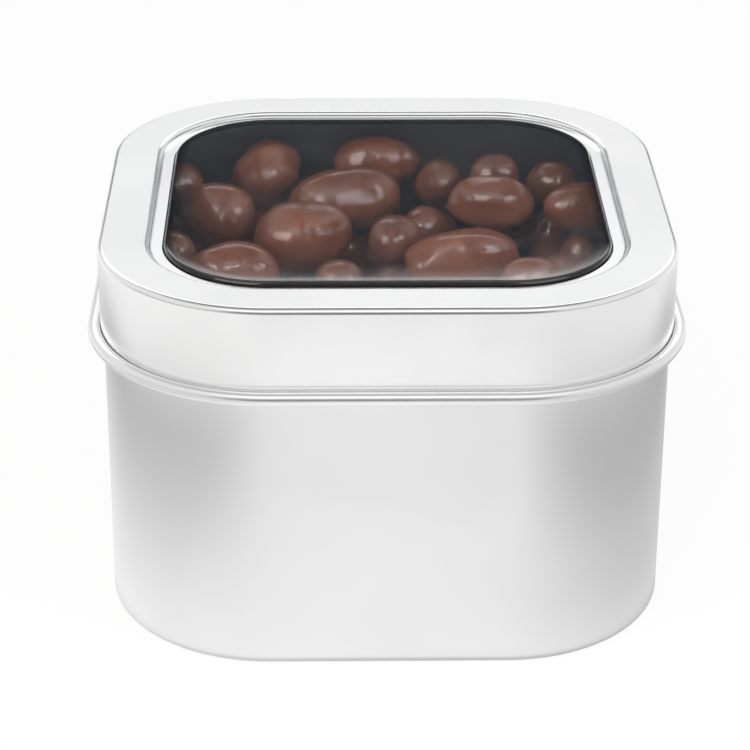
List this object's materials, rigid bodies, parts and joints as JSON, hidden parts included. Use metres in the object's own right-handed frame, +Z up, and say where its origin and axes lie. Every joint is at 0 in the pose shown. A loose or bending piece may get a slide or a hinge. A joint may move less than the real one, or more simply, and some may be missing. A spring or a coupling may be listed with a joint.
{
  "type": "window lid tin",
  "caption": "Rounded-square seamless tinplate tin with a slip-on lid, rolled bead and clear raised window, holding chocolate-coated nuts.",
  "frame": {"origin": "middle of the flat base, on the surface the tin stands on", "axes": "+Z up, -Y towards the side that is pictured, +X to its right"},
  "size_m": [0.1096, 0.1096, 0.0715],
  "materials": {
    "tinplate": "satin",
    "clear_pane": "clear gloss",
    "chocolate": "glazed milk chocolate"
  },
  "bodies": {
    "tin": {"tin_body": "tinplate", "coated_almonds": "chocolate", "coated_peanuts": "chocolate", "coated_raisins": "chocolate"},
    "lid": {"lid_shell": "tinplate", "window_pane": "clear_pane", "window_retainer": "tinplate"}
  },
  "joints": [
    {"name": "lid_lift", "type": "slide", "parent": "tin", "child": "lid", "axis": [0, 0, 1], "range_m": [0, 0.06]}
  ]
}
